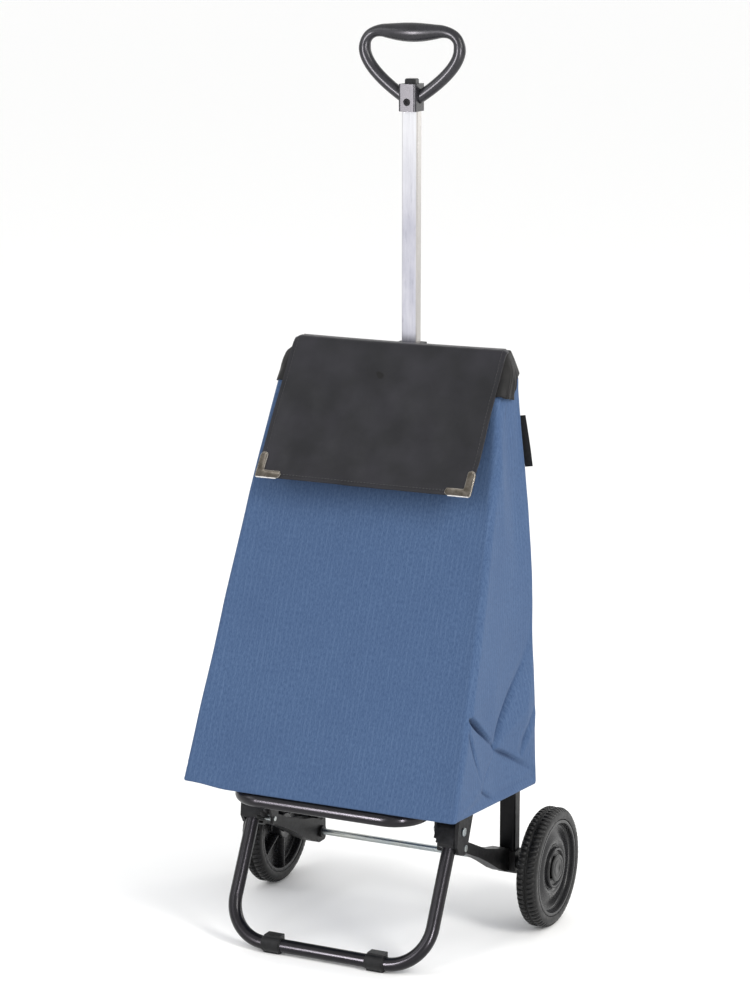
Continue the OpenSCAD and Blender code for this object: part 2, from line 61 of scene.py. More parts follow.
import bmesh
import bpy
import numpy as np
from mathutils import Matrix, Vector, noise

MM = 0.001
AXLE = (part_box("axle")[0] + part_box("axle")[1]) / 2


def at(x, y, z):
    """A point in metres, from millimetres to the right, behind the axle and above the floor."""
    return Vector((x * MM, AXLE.y + y * MM, z * MM))


def ease(t):
    """Smooth step from 0 to 1."""
    t = np.clip(t, 0.0, 1.0)
    return t * t * (3 - 2 * t)


# ---- Camera, light and floor ----


def make_camera():
    data = bpy.data.cameras.new("camera")
    data.sensor_width = 36
    data.lens = 104.9
    data.clip_end = 300
    camera = bpy.data.objects.new("camera", data)
    camera.location = at(1466.8, -3095.3, 1230.8)
    camera.rotation_euler = (math.radians(78.06), 0, math.radians(26.06))
    bpy.context.scene.collection.objects.link(camera)
    bpy.context.scene.camera = camera


def softbox(name, place, width, height, watts, tint):
    """Rectangular lamp turned towards the middle of the object; its place and size are in metres."""
    data = bpy.data.lights.new(name, "AREA")
    data.shape = "RECTANGLE"
    data.size = width
    data.size_y = height
    data.energy = watts
    data.color = tint
    lamp = bpy.data.objects.new(name, data)
    lamp.location = place
    lamp.rotation_euler = (at(0, -80, 480) - Vector(place)).to_track_quat("-Z", "Y").to_euler()
    bpy.context.scene.collection.objects.link(lamp)
    return lamp


def make_lights():
    softbox("key_right", (3.3, -1.3, 2.7), 1.0, 2.0, 105, (1, 0.985, 0.955))
    softbox("front_left", (-0.75, -3.9, 1.7), 0.4, 1.7, 16, (0.95, 0.96, 1))
    softbox("fill_left", (-3.0, -2.4, 2.6), 1.4, 1.4, 26, (0.96, 0.97, 1))
    softbox("back_right", (1.9, 3.0, 1.5), 1.0, 1.8, 20, (1, 0.99, 0.97))
    world = bpy.data.worlds.new("studio")
    world.use_nodes = True
    sky = world.node_tree.nodes["Background"]
    sky.inputs["Color"].default_value = (1, 1, 1, 1)
    sky.inputs["Strength"].default_value = 1.02
    bpy.context.scene.world = world
    bpy.context.scene.view_settings.view_transform = "Standard"


def make_strips(pieces):
    """Two tall narrow lamps that light only the glossy tubes and the grip, for the thin lines along them."""
    glossy = bpy.data.collections.new("glossy_pieces")
    for piece in pieces:
        glossy.objects.link(piece)
    for name, place, width, watts in (("strip_left", (-1.3, -3.3, 0.75), 0.2, 150),
            ("strip_right", (2.45, -2.35, 0.75), 0.26, 130)):
        strip = softbox(name, place, width, 1.4, watts, (0.98, 0.93, 1))
        strip.light_linking.receiver_collection = glossy


def make_floor():
    material = bpy.data.materials.new("floor_paint")
    material.use_nodes = True
    shader = material.node_tree.nodes["Principled BSDF"]
    shader.inputs["Base Color"].default_value = (0.96, 0.96, 0.955, 1)
    shader.inputs["Roughness"].default_value = 0.6
    shader.inputs["Specular IOR Level"].default_value = 0.2
    mesh = bpy.data.meshes.new("floor")
    half = 60
    corners = [(-half, -half, 0), (half, -half, 0), (half, half, 0), (-half, half, 0)]
    mesh.from_pydata(corners, [], [(0, 1, 2, 3)])
    mesh.materials.append(material)
    floor = bpy.data.objects.new("floor", mesh)
    bpy.context.scene.collection.objects.link(floor)


# ---- Materials ----


class Finish:
    """One material, and short calls for the nodes that pattern it. Sizes are in millimetres."""

    def __init__(self, name, roughness, metallic=0.0, specular=0.5, **constants):
        self.material = bpy.data.materials.new(name)
        self.material.use_nodes = True
        self.tree = self.material.node_tree
        self.shader = self.tree.nodes["Principled BSDF"]
        self.shader.inputs["Metallic"].default_value = metallic
        self.shader.inputs["Roughness"].default_value = roughness
        self.shader.inputs["Specular IOR Level"].default_value = specular
        for socket, value in constants.items():
            self.shader.inputs[socket.replace("_", " ")].default_value = value

    def add(self, kind, **inputs):
        """A shader node with some sockets set, each to a number, a colour or another node's output."""
        made = self.tree.nodes.new("ShaderNode" + kind)
        for socket, value in inputs.items():
            self.join(value, made.inputs[socket.replace("_", " ")])
        return made

    def join(self, value, socket):
        if isinstance(value, bpy.types.NodeSocket):
            self.tree.links.new(value, socket)
        elif value is not None:
            socket.default_value = value

    def place(self, size, source="Object"):
        """Coordinates on the piece in units of size, one number or three, in millimetres."""
        size = (size, size, size) if isinstance(size, (int, float)) else size
        coords = self.add("TexCoord").outputs[source]
        mapping = self.add("Mapping", Vector=coords)
        mapping.inputs["Scale"].default_value = [1000 / s for s in size]
        return mapping.outputs["Vector"]

    def cloud(self, size, detail=3.0, source="Object", rough=0.55):
        """Soft random pattern with features of about that size, from 0 to 1."""
        return self.add("TexNoise", Vector=self.place(size, source), Scale=1.0, Detail=detail,
            Roughness=rough).outputs["Fac"]

    def bands(self, pitch, axis, source="UV", distort=0.0):
        """Even soft stripes across one axis of the coordinates, which are in metres."""
        made = self.add("TexWave", Vector=self.place(1000, source),
            Scale=2 * math.pi / 20 / (pitch * MM), Distortion=distort)
        made.bands_direction = axis
        made.wave_profile = "SIN"
        return made.outputs["Fac"]

    def math(self, operation, a, b=0.0):
        made = self.add("Math")
        made.operation = operation
        self.join(a, made.inputs[0])
        self.join(b, made.inputs[1])
        return made.outputs[0]

    def span(self, value, low, high, to_low, to_high):
        """Carries a value from one range to another, and stops at its ends."""
        return self.add("MapRange", Value=value, From_Min=low, From_Max=high, To_Min=to_low,
            To_Max=to_high).outputs[0]

    def blend(self, amount, first, second):
        """Mixes two colours by an amount from 0 to 1."""
        made = self.add("Mix")
        made.data_type = "RGBA"
        self.join(amount, made.inputs[0])
        for colour, socket in ((first, made.inputs[6]), (second, made.inputs[7])):
            self.join(colour if isinstance(colour, bpy.types.NodeSocket) else (*colour, 1), socket)
        return made.outputs[2]

    def relief(self, height, depth, strength=1.0, below=None):
        """Bump of that depth in millimetres, on top of another."""
        return self.add("Bump", Height=height, Distance=depth * MM, Strength=strength,
            Normal=below).outputs["Normal"]

    def wear(self, size):
        """1 on convex edges, 0 on flats, from the geometry's own pointiness."""
        sharp = self.add("NewGeometry").outputs["Pointiness"]
        return self.span(sharp, 0.5, 0.5 + 0.1 * size, 0.0, 1.0)

    def wire(self, colour=None, roughness=None, normal=None):
        self.join(colour, self.shader.inputs["Base Color"])
        self.join(roughness, self.shader.inputs["Roughness"])
        self.join(normal, self.shader.inputs["Normal"])
        return self.material


def moulded(name, dark, light, roughness=(0.38, 0.55), grain=0.03, worn=0.7, dents=0.12, **constants):
    """Moulded plastic: fine grain, slightly uneven gloss, and paler rubbed edges."""
    f = Finish(name, 0.45, **constants)
    mottle = f.cloud(14, 4)
    colour = f.blend(f.span(mottle, 0.35, 0.7, 0, 1), dark, light)
    rubbed = f.math("MULTIPLY", f.wear(1.2), f.span(f.cloud(6, 3), 0.4, 0.7, 0.1 * worn, worn))
    colour = f.blend(rubbed, colour, tuple(2.4 * c + 0.01 for c in light))
    gloss = f.span(f.cloud(3.5, 5), 0.3, 0.75, *roughness)
    normal = f.relief(f.cloud(0.9, 3), grain, 0.8)
    return f.wire(colour, gloss, f.relief(mottle, dents, 0.4, normal))


def enamel(name, colour, roughness=(0.12, 0.24), scuff=0.5, peel=0.02, **constants):
    """Sprayed enamel or powder coat on steel: orange peel, dust and a few scuffs."""
    f = Finish(name, 0.2, **constants)
    dust = f.span(f.cloud(9, 6, rough=0.7), 0.45, 0.8, 0, 0.35)
    paint = f.blend(dust, colour, tuple(1.8 * c + 0.006 for c in colour))
    scratch = f.span(f.cloud((0.6, 0.6, 11), 2), 0.66, 0.74, 0, scuff)
    gloss = f.math("ADD", f.span(f.cloud(7, 4), 0.35, 0.7, *roughness), f.math("MULTIPLY", scratch, 0.25))
    skin = f.relief(f.cloud(1.6, 2), peel, 0.7)
    return f.wire(paint, gloss, f.relief(scratch, 0.02, -0.4, skin))


def drawn_metal(name, colour, tint, grain, roughness=(0.22, 0.4)):
    """Bare metal with streaks along its grain, faint stains and a few deeper scratches."""
    f = Finish(name, 0.3, metallic=1.0)
    lines = f.cloud(grain, 3, rough=0.7)
    stain = f.cloud(24, 4)
    metal = f.blend(f.span(stain, 0.35, 0.7, 0, 1), colour, tint)
    metal = f.blend(f.span(lines, 0.3, 0.72, 0.5, 0), metal, tuple(0.55 * c for c in colour))
    scratch = f.span(f.cloud(tuple(1.7 * g for g in grain), 1), 0.7, 0.78, 0, 1)
    gloss = f.math("ADD", f.span(lines, 0.3, 0.7, *roughness), f.math("MULTIPLY", stain, 0.08))
    return f.wire(metal, gloss, f.relief(scratch, 0.036, -0.6, f.relief(lines, 0.012, 0.8)))


def mast_metal():
    """Drawn aluminium: lilac on the wide faces, with a painted highlight that whitens it near the grip, and
    painted shade that makes the narrow faces duller and warmer.
    """
    f = Finish("drawn_aluminium", 0.3, metallic=1.0)
    lines = f.cloud((0.22, 0.22, 70), 3, rough=0.7)
    stain = f.cloud((14, 14, 50), 4, rough=0.65)
    metal = f.blend(f.span(stain, 0.35, 0.68, 0, 1), (0.5, 0.5, 0.575), (0.66, 0.655, 0.71))
    blot = f.span(f.cloud((5, 5, 26), 3), 0.6, 0.72, 0, 0.6)
    metal = f.blend(blot, metal, (0.36, 0.36, 0.43))
    # Painted highlight: the metal fades to near-white towards its top, under the grip.
    height = f.add("SeparateXYZ", Vector=f.add("TexCoord").outputs["Object"]).outputs["Z"]
    metal = f.blend(f.span(height, 0.84, 0.95, 0, 0.85), metal, (0.86, 0.86, 0.88))
    # Painted shade: faces turned to the sides get a darker, warmer colour, by the direction they face.
    facing = f.add("SeparateXYZ", Vector=f.add("NewGeometry").outputs["Normal"]).outputs["X"]
    side_shade = f.span(f.math("ABSOLUTE", facing), 0.45, 0.75, 0, 1)
    metal = f.blend(side_shade, metal, (0.475, 0.455, 0.43))
    metal = f.blend(f.span(lines, 0.3, 0.72, 0.4, 0), metal, (0.3, 0.3, 0.33))
    scratch = f.span(f.cloud((0.4, 0.4, 110), 1), 0.7, 0.78, 0, 1)
    gloss = f.math("ADD", f.span(lines, 0.3, 0.7, 0.2, 0.38), f.math("MULTIPLY", stain, 0.08))
    return f.wire(metal, gloss, f.relief(scratch, 0.045, -0.6, f.relief(lines, 0.015, 0.8)))


def bag_cloth():
    """Blue two-tone polyester: plain weave, a paler rib every few millimetres, slubs along the warp, and
    painted shade in its creases.
    """
    f = Finish("bag_cloth", 0.85, specular=0.12, Sheen_Weight=0.04, Sheen_Roughness=0.5)
    rib = f.math("POWER", f.bands(6.3, "X"), 3.0)
    dashes = f.cloud((1.3, 4.5, 1), 3, "UV", 0.65)
    slubs = f.cloud((3.0, 26, 1), 2, "UV")
    weave = f.math("MULTIPLY", f.bands(0.95, "X"), f.bands(0.8, "Y"))
    colour = f.blend(f.span(dashes, 0.3, 0.72, 0, 1), (0.037, 0.07, 0.148), (0.077, 0.128, 0.231))
    pale = f.math("MULTIPLY", rib, f.span(slubs, 0.35, 0.65, 0.0, 0.32))
    colour = f.blend(pale, colour, (0.105, 0.165, 0.28))
    colour = f.blend(f.math("MULTIPLY", weave, 0.3), colour, (0.025, 0.05, 0.115))
    shade = f.span(f.cloud(70, 3), 0.3, 0.7, 0, 0.2)
    colour = f.blend(shade, colour, (0.037, 0.066, 0.142))
    # Painted shade: concave creases of the mesh are darkened, found from its pointiness.
    crease_shade = f.span(f.add("NewGeometry").outputs["Pointiness"], 0.43, 0.49, 0.8, 0.0)
    colour = f.blend(crease_shade, colour, (0.016, 0.03, 0.072))
    gloss = f.span(dashes, 0.3, 0.7, 0.76, 0.9)
    normal = f.relief(weave, 0.16, 0.55)
    normal = f.relief(rib, 0.18, 0.4, normal)
    normal = f.relief(f.cloud(9, 2), 0.35, 0.35, normal)
    return f.wire(colour, gloss, normal)


def coated_nylon(name, dark, light, crinkle, roughness, specular):
    """Black coated nylon: fine weave under a thin coat, soft blotches that are partly random tone and partly
    painted sheen, and shallow crinkles.
    """
    f = Finish(name, 0.5, Sheen_Weight=0.04, Sheen_Roughness=0.4, specular=specular)
    weave = f.math("MULTIPLY", f.bands(0.6, "X"), f.bands(0.55, "Y"))
    # Soft blotches, partly random tone of the cloth and partly painted sheen in bluish-grey patches.
    blotch_and_sheen = f.cloud(46, 3)
    colour = f.blend(f.span(blotch_and_sheen, 0.35, 0.68, 0, 1), dark, light)
    colour = f.blend(f.math("MULTIPLY", weave, 0.4), colour, tuple(0.5 * c for c in dark))
    gloss = f.span(f.cloud(18, 4), 0.3, 0.7, *roughness)
    normal = f.relief(weave, 0.1, 0.5)
    normal = f.relief(f.cloud(13, 2, rough=0.4), crinkle, 0.35, normal)
    return f.wire(colour, gloss, f.relief(blotch_and_sheen, 1.6, 0.35, normal))


def webbing_cloth():
    """Black polypropylene tape: ribs along it and a herringbone of fine yarns across it."""
    f = Finish("webbing_cloth", 0.7, Sheen_Weight=0.05, specular=0.2)
    ribs = f.bands(1.5, "X")
    yarns = f.bands(1.0, "Y", distort=1.2)
    colour = f.blend(f.math("MULTIPLY", ribs, yarns), (0.006, 0.006, 0.007), (0.03, 0.03, 0.033))
    normal = f.relief(f.math("MULTIPLY", ribs, yarns), 0.3, 0.8)
    return f.wire(colour, f.span(f.cloud(4), 0.3, 0.7, 0.6, 0.8), normal)


def rubber():
    """Moulded black rubber: matt grain, dusty in the low places."""
    f = Finish("tyre_rubber", 0.6, specular=0.26)
    dust = f.span(f.cloud(7, 5, rough=0.7), 0.42, 0.75, 0, 0.6)
    colour = f.blend(dust, (0.005, 0.005, 0.0053), (0.017, 0.0165, 0.016))
    normal = f.relief(f.cloud(0.7, 3), 0.05, 0.8)
    return f.wire(colour, f.span(f.cloud(5, 4), 0.3, 0.7, 0.3, 0.52), normal)


def corner_metal(name, dark, light, rubbed):
    """Bronzed nickel sheet, worn to brighter metal along its rims, which also paints in a highlight there."""
    f = Finish(name, 0.35, metallic=1.0)
    stain = f.cloud(7, 4)
    colour = f.blend(f.span(stain, 0.35, 0.7, 0, 1), dark, light)
    # Convex rims turn paler: partly worn metal and partly a painted highlight.
    wear_and_highlight = f.math("MULTIPLY", f.wear(0.8), f.span(f.cloud(4, 3), 0.3, 0.6, 0.2 * rubbed, rubbed))
    colour = f.blend(wear_and_highlight, colour, (0.8, 0.77, 0.73))
    gloss = f.span(f.cloud(2.5, 4), 0.3, 0.7, 0.24, 0.4)
    return f.wire(colour, gloss, f.relief(f.cloud((6, 0.4, 0.4), 3), 0.015, 0.8))


def hardboard():
    """Pressed brown board with short fibres."""
    f = Finish("hardboard", 0.75)
    fibres = f.cloud((0.5, 3.5, 0.5), 4)
    colour = f.blend(f.span(fibres, 0.3, 0.7, 0, 1), (0.19, 0.12, 0.065), (0.4, 0.29, 0.17))
    return f.wire(colour, None, f.relief(fibres, 0.15, 0.7))


def thread(name, colour):
    """Twisted sewing thread."""
    f = Finish(name, 0.6, Sheen_Weight=0.2)
    ply = f.cloud(0.35, 2)
    return f.wire(f.blend(ply, colour, tuple(1.7 * c for c in colour)), None, f.relief(ply, 0.05, 0.6))


def make_finishes():
    return {
        "painted_steel": enamel("frame_paint", (0.0055, 0.0055, 0.006), (0.28, 0.42), specular=0.13),
        "tube_enamel": enamel("tube_paint", (0.0025, 0.0025, 0.003), (0.21, 0.25), 0.2, 0.008,
            specular=0.25, Specular_Tint=(0.98, 0.95, 1, 1)),
        "zinc_steel": drawn_metal("zinc_plate", (0.5, 0.55, 0.57), (0.6, 0.6, 0.54), (14, 0.3, 0.3),
            (0.2, 0.34)),
        "spring_steel": drawn_metal("spring_wire", (0.4, 0.4, 0.42), (0.5, 0.48, 0.45), (0.3, 0.3, 6)),
        "dark_steel": drawn_metal("black_screw", (0.035, 0.035, 0.038), (0.06, 0.055, 0.055), (0.3, 0.3, 3)),
        "aluminium": mast_metal(),
        "arm_plastic": moulded("arm_nylon", (0.005, 0.005, 0.0055), (0.009, 0.009, 0.0095), (0.36, 0.52),
            specular=0.2),
        "hinge_plastic": moulded("hinge_nylon", (0.0055, 0.0055, 0.006), (0.010, 0.010, 0.011), (0.34, 0.5),
            specular=0.24),
        "grip_plastic": moulded("grip_nylon", (0.008, 0.0082, 0.0092), (0.013, 0.013, 0.015), (0.26, 0.3),
            0.008, 0.3, 0.02, specular=0.27),
        "button_plastic": moulded("button_nylon", (0.008, 0.008, 0.009), (0.013, 0.013, 0.014), (0.3, 0.45),
            0.02, specular=0.3),
        "hub_plastic": moulded("hub_polypropylene", (0.009, 0.009, 0.01), (0.013, 0.013, 0.0145), (0.24, 0.3),
            0.006, 0.15, 0.01, specular=0.32),
        "cap_plastic": moulded("cap_polypropylene", (0.016, 0.0165, 0.017), (0.022, 0.0225, 0.023),
            (0.32, 0.4), 0.01, 0.2, 0.02, specular=0.28),
        "tyre_rubber": rubber(),
        "bag_fabric": bag_cloth(),
        "lining_fabric": coated_nylon("lining_nylon", (0.006, 0.0058, 0.006), (0.014, 0.013, 0.013), 0.9,
            (0.4, 0.6), 0.2),
        "flap_fabric": coated_nylon("flap_nylon", (0.0068, 0.0068, 0.0088), (0.0145, 0.0138, 0.0182), 0.3,
            (0.36, 0.5), 0.27),
        "webbing": webbing_cloth(),
        "corner_metal": corner_metal("corner_nickel", (0.085, 0.074, 0.06), (0.16, 0.142, 0.12), 0.3),
        # Rolled edges of the corners: near-white metal, partly worn shine and partly a painted highlight.
        "painted_edge_highlight": corner_metal("painted_highlight_edge_nickel", (0.62, 0.6, 0.6), (0.95, 0.93, 0.93), 1.0),
        "board": hardboard(),
        "black_thread": thread("black_thread", (0.014, 0.014, 0.016)),
    }


# ---- Pieces ----


def add_piece(name, points, faces, body, slot, replaces=(), finish=None):
    """Mesh object from points in metres, riding on a body, with the finish of its slot."""
    mesh = bpy.data.meshes.new(name)
    mesh.from_pydata([tuple(p) for p in points], [], faces)
    mesh.validate()
    mesh.shade_smooth()
    mesh.materials.append(FINISH[finish or slot])
    piece = bpy.data.objects.new(name, mesh)
    bpy.context.scene.collection.objects.link(piece)
    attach(piece, body)
    if replaces:
        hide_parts(*replaces)
    return piece


def grid_faces(columns, rows, closed=False, first=0):
    """Quads of a grid whose points are listed row by row, with its columns closed into a ring or not."""
    across = columns if closed else columns - 1
    return [(first + r * columns + c, first + r * columns + (c + 1) % columns,
        first + (r + 1) * columns + (c + 1) % columns, first + (r + 1) * columns + c)
        for r in range(rows - 1) for c in range(across)]


def paint_points(piece, uvs):
    """Gives each point of a piece its place on the flat cloth, in metres."""
    layer = piece.data.uv_layers.new(name="cloth")
    for loop in piece.data.loops:
        layer.data[loop.index].uv = uvs[loop.vertex_index]


def outward(piece):
    """Splits a piece's many-sided faces and turns every face outwards."""
    mesh = bmesh.new()
    mesh.from_mesh(piece.data)
    bmesh.ops.triangulate(mesh, faces=[f for f in mesh.faces if len(f.verts) > 4])
    bmesh.ops.recalc_face_normals(mesh, faces=mesh.faces)
    mesh.to_mesh(piece.data)
    mesh.free()


def corner_arc(before, here, after, size, steps):
    """Points that cut a corner at here with a curve, size along each side at most."""
    a, b = (here + (p - here).normalized() * min(size, 0.5 * (p - here).length) for p in (before, after))
    return [a * (1 - t) ** 2 + here * 2 * t * (1 - t) + b * t ** 2 for t in
        (k / steps for k in range(steps + 1))]


def thicken(piece, thickness):
    """Gives a sheet its thickness in millimetres, inwards."""
    wall = piece.modifiers.new("thickness", "SOLIDIFY")
    wall.thickness = thickness * MM
    wall.offset = -1.0
    wall.use_rim = True
    wall.use_even_offset = False


def relax(points, faces, held, swell, frames, pressure, limit):
    """Lets cloth settle from points in metres, held by weights from 0 to 1. None moves over limit mm."""
    mesh = bpy.data.meshes.new("settling")
    mesh.from_pydata([tuple(p) for p in points], [], faces)
    cloth_piece = bpy.data.objects.new("settling", mesh)
    bpy.context.scene.collection.objects.link(cloth_piece)
    levels = 20
    for name, weights in (("held", held), ("swell", swell)):
        group = cloth_piece.vertex_groups.new(name=name)
        for level in range(1, levels + 1):
            chosen = np.nonzero(np.round(np.asarray(weights) * levels) == level)[0]
            group.add([int(i) for i in chosen], level / levels, "REPLACE")
    cloth = cloth_piece.modifiers.new("Cloth", "CLOTH")
    s = cloth.settings
    s.quality = 6
    s.mass = 0.25
    s.tension_stiffness = s.compression_stiffness = 30
    s.shear_stiffness = 12
    s.bending_stiffness = 1.5
    s.vertex_group_mass = "held"
    s.use_pressure = True
    s.uniform_pressure_force = pressure
    s.effector_weights.gravity = 0.3
    s.vertex_group_shrink = "swell"
    s.shrink_min = 0
    s.shrink_max = -0.03
    cloth.collision_settings.use_collision = False
    cloth.point_cache.frame_start = 1
    cloth.point_cache.frame_end = frames
    scene = bpy.context.scene
    for number in range(1, frames + 1):
        scene.frame_set(number)
    graph = bpy.context.evaluated_depsgraph_get()
    moved = np.zeros(len(points) * 3)
    cloth_piece.evaluated_get(graph).data.vertices.foreach_get("co", moved)
    step = moved.reshape(-1, 3) - points
    length = np.linalg.norm(step, axis=1, keepdims=True) + 1e-12
    step *= limit * MM * np.tanh(length / (limit * MM)) / length
    bpy.data.objects.remove(cloth_piece)
    bpy.data.meshes.remove(mesh)
    scene.frame_set(1)
    return points + step


def refine(grid):
    """Halves the spacing of a grid of points, closed round its columns, along smooth curves."""
    before, after = np.roll(grid, 1, axis=1), np.roll(grid, -1, axis=1)
    beyond = np.roll(grid, -2, axis=1)
    middles = (9 * (grid + after) - before - beyond) / 16
    wide = np.stack([grid, middles], axis=2).reshape(len(grid), -1, grid.shape[2])
    padded = np.concatenate([2 * wide[:1] - wide[1:2], wide, 2 * wide[-1:] - wide[-2:-1]])
    middles = (9 * (padded[1:-2] + padded[2:-1]) - padded[:-3] - padded[3:]) / 16
    tall = np.zeros((2 * len(wide) - 1,) + wide.shape[1:])
    tall[::2] = wide
    tall[1::2] = middles
    return tall


def round_edges(node, width):
    """Rounds a CAD node's edges and smooths its curved faces with modifiers."""
    piece = frame["nodes"][node]
    custom = piece.data.attributes.get("custom_normal")
    if custom:
        piece.data.attributes.remove(custom)
    piece.data.shade_smooth()
    weld = piece.modifiers.new("weld", "WELD")
    weld.merge_threshold = 0.01 * MM
    flats = piece.modifiers.new("flats", "DECIMATE")
    flats.decimate_type = "DISSOLVE"
    flats.angle_limit = math.radians(0.8)
    bevel = piece.modifiers.new("edges", "BEVEL")
    bevel.width = width * MM
    bevel.segments = 2
    bevel.limit_method = "ANGLE"
    bevel.angle_limit = math.radians(32)
    bevel.miter_outer = "MITER_ARC"
    normals = piece.modifiers.new("normals", "WEIGHTED_NORMAL")
    normals.weight = 60


def finish_cad_nodes():
    """Gives each CAD node that is shown its finish, and softer edges."""
    slots = {row["node"]: row["material_slot"] for row in frame["record"]["subparts"]}
    widths = {"upright": 0.5, "side_arm": 1.2, "leg_bracket": 0.9, "leg_cap": 0.9, "foot": 0.9,
        "grip_block": 0.8, "release_button": 0.7, "mast_collar": 1.0, "base_board": 0.5, "grip_screw": 0.3}
    plain = {"button_spring", "latch_spring", "platform_loop", "leg_loop"}
    remade = {"bag_body", "bag_cuff", "flap", "tyre", "grip_ring", "bag_straps", "side_tag", "flap_corner",
        "hub", "hub_cap"}
    for node, piece in frame["nodes"].items():
        kind = node.removeprefix("left_").removeprefix("right_")
        if kind in remade:
            continue
        piece.data.materials.clear()
        piece.data.materials.append(FINISH[slots[node]])
        if kind in plain:
            piece.data.shade_smooth()
        else:
            round_edges(node, widths.get(kind, 0.4))


# ---- Bag ----

# Outline of the bag as (height, value): its front face behind the axle, and its half width
BAG_FRONT = ((198.5, -248), (545, -107), (650, -62), (699, -28))
BAG_HALF = ((198.5, 174.5), (403, 167), (523, 159), (650, 148), (668, 146.5), (676, 144.3), (690, 138.5),
    (699, 134))
BAG_BACK = -9.5
BAG_TOP = 678
LEFT, FRONT, RIGHT, BACK, BOTTOM = range(5)


def along(line, z):
    """Value of a broken line of (height, value) pairs at height z, or at an array of heights."""
    return np.interp(z, *zip(*line))


def section(half, front, back, corner, counts):
    """Rounded rectangle from its back left corner round by the front: points, and the panel of each."""
    corners = [(-half, back), (-half, front), (half, front), (half, back)]
    arc = 5
    points = []
    panels = []
    for k in range(4):
        a, b, c = corners[k], corners[(k + 1) % 4], corners[(k + 2) % 4]
        run = Vector(b) - Vector(a)
        turn = Vector(c) - Vector(b)
        r0 = min(corner[k], 0.45 * run.length, 0.45 * abs(front - back))
        r1 = min(corner[(k + 1) % 4], 0.45 * run.length, 0.45 * abs(front - back))
        run_n, turn_n = run.normalized(), turn.normalized()
        start = Vector(a) + run_n * r0
        end = Vector(b) - run_n * r1
        for i in range(counts[k]):
            points.append(start.lerp(end, i / counts[k]))
            panels.append(k)
        hub = end + turn_n * r1
        for i in range(arc):
            angle = math.pi / 2 * i / arc
            points.append(hub - turn_n * r1 * math.cos(angle) + run_n * r1 * math.sin(angle))
            panels.append(k if i < arc / 2 else (k + 1) % 4)
    return points, panels


def paint_uv(mesh, panel_of_face, rest):
    """Lays the cloth of each panel (left, front, right, back, bottom) flat, across and up, in metres."""
    layer = mesh.uv_layers.new(name="cloth")
    uv = np.zeros((len(mesh.loops), 2))
    for face in mesh.polygons:
        panel = panel_of_face[face.index]
        for loop in face.loop_indices:
            x, y, z = rest[mesh.loops[loop].vertex_index]
            uv[loop] = ((-y, z), (x, z * 1.08), (y, z), (-x, z), (x, y))[panel]
    layer.data.foreach_set("uv", uv.ravel())


# Stiff facets of the side panel, low down: corners as (behind the axle, height, outward push), and the
# corners of each facet
FACET_CORNERS = ((-170, 400, 0), (-90, 400, 0.5), (-10, 400, 0), (-206, 311, 1.5), (-126, 322, 4.0),
    (-31, 340, -2.5), (-10, 345, 0), (-116, 252, -4.0), (-44, 280, 6.5), (-10, 268, 3.0), (-12, 197, -2.5),
    (-173, 223, 2.0), (-168, 213, -2.5), (-128, 197, -5.0), (-70, 197, -5.5), (-249, 197, 0))
FACETS = ((0, 1, 4), (1, 5, 4), (1, 2, 5), (2, 6, 5), (0, 4, 3), (3, 4, 7), (4, 5, 7), (5, 8, 7), (5, 6, 8),
    (6, 9, 8), (8, 9, 10), (7, 8, 10), (7, 10, 14), (7, 14, 13), (7, 13, 12), (7, 12, 11), (3, 7, 11),
    (3, 15, 11), (15, 12, 11), (15, 13, 12))
# Creases: start and end as (behind the axle, height), depth, reach below and above, and the lip above
CREASES = (
    ((-206, 311), (-118, 254), 10.0, 3.6, 1.6, 2.6),
    ((-119, 252), (-12, 212), 4.5, 4.2, 1.8, 1.8),
    ((-119, 254), (-24, 350), 7.0, 3.2, 9.5, 0.0),
    ((-52, 236), (-12, 292), 4.0, 3.0, 8.0, 0.0),
    ((-206, 294), (-168, 222), 3.6, 2.2, 2.2, 0.8),
    ((-168, 218), (-126, 199), 3.2, 1.8, 3.0, 1.4),
    ((-166, 222), (-121, 249), 2.6, 3.0, 3.0, 0.0),
)


def facet_push(y, z):
    """Outward push of the flat facets at points (y, z)."""
    push = np.zeros_like(y)
    for facet in FACETS:
        (y0, z0, p0), (y1, z1, p1), (y2, z2, p2) = (FACET_CORNERS[k] for k in facet)
        area = (y1 - y0) * (z2 - z0) - (y2 - y0) * (z1 - z0)
        b = ((y - y0) * (z2 - z0) - (y2 - y0) * (z - z0)) / area
        c = ((y1 - y0) * (z - z0) - (y - y0) * (z1 - z0)) / area
        inside = (b >= 0) & (c >= 0) & (b + c <= 1)
        push = np.where(inside, p0 + b * (p1 - p0) + c * (p2 - p0), push)
    for _ in range(2):
        push[1:-1] = (push[:-2] + 2 * push[1:-1] + push[2:]) / 4
        push = (np.roll(push, 1, axis=1) + 2 * push + np.roll(push, -1, axis=1)) / 4
    return push


